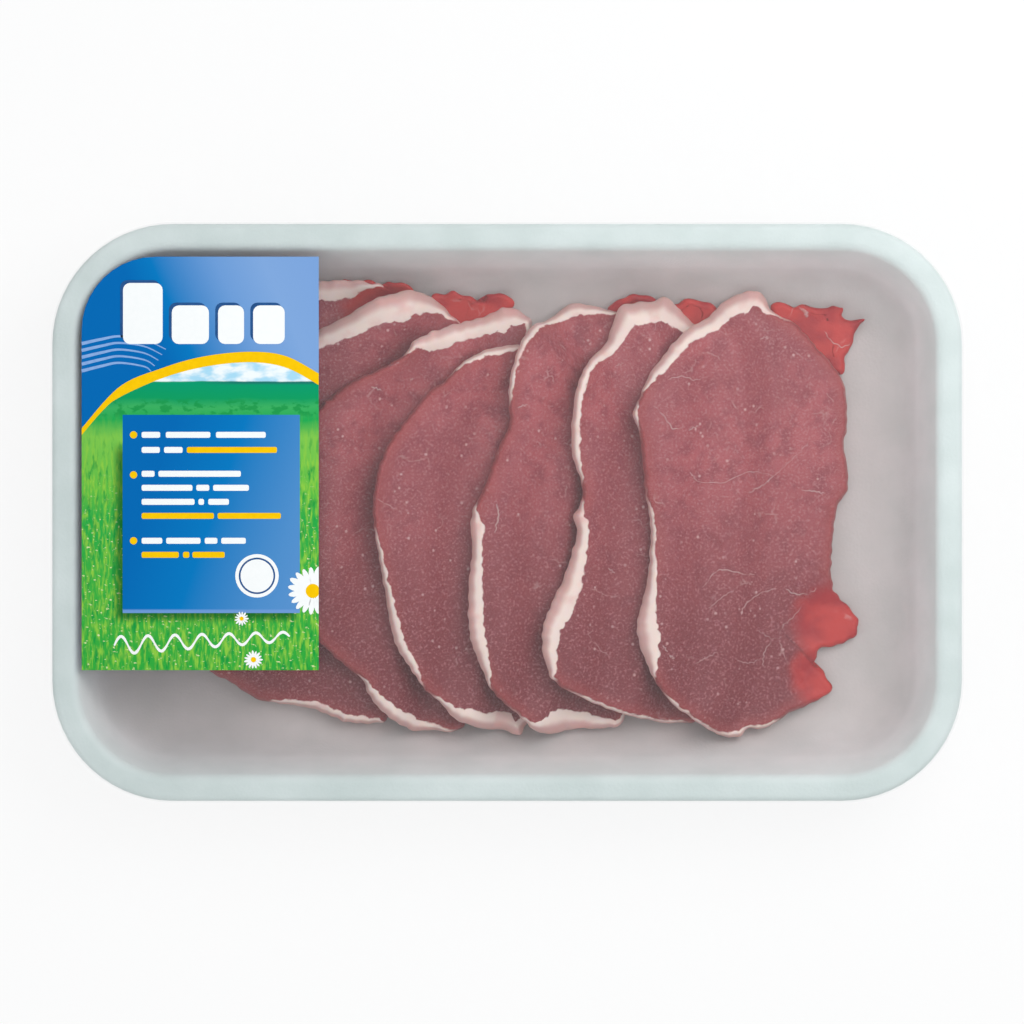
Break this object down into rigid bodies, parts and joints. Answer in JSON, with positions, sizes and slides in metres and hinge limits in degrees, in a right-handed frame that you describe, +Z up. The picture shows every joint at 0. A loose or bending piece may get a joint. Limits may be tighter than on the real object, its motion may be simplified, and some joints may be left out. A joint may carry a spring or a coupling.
{
  "type": "meat tray pack",
  "caption": "White foam tray of thin boneless pork slices laid like shingles, wrapped in clear stretch film with a printed paper label on one end.",
  "frame": {"origin": "under the middle of the pack, on the surface it stands on", "axes": "+X runs along the tray from the label end to the last slice laid, +Y across the tray, +Z up"},
  "size_m": [0.2612, 0.1662, 0.032],
  "materials": {
    "white_foam": "expanded polystyrene, fine closed cells, satin",
    "raw_pork": "moist cut flesh with a rim of white fat",
    "stretch_film": "clear, glossy, very thin",
    "label_paper": "coated paper printed in blue, green and yellow"
  },
  "bodies": {
    "root": {"tray": "white_foam", "slice_1": "raw_pork", "slice_2": "raw_pork", "slice_3": "raw_pork", "slice_4": "raw_pork", "slice_5": "raw_pork", "slice_6": "raw_pork", "slice_7": "raw_pork", "film": "stretch_film", "label": "label_paper"}
  },
  "joints": []
}
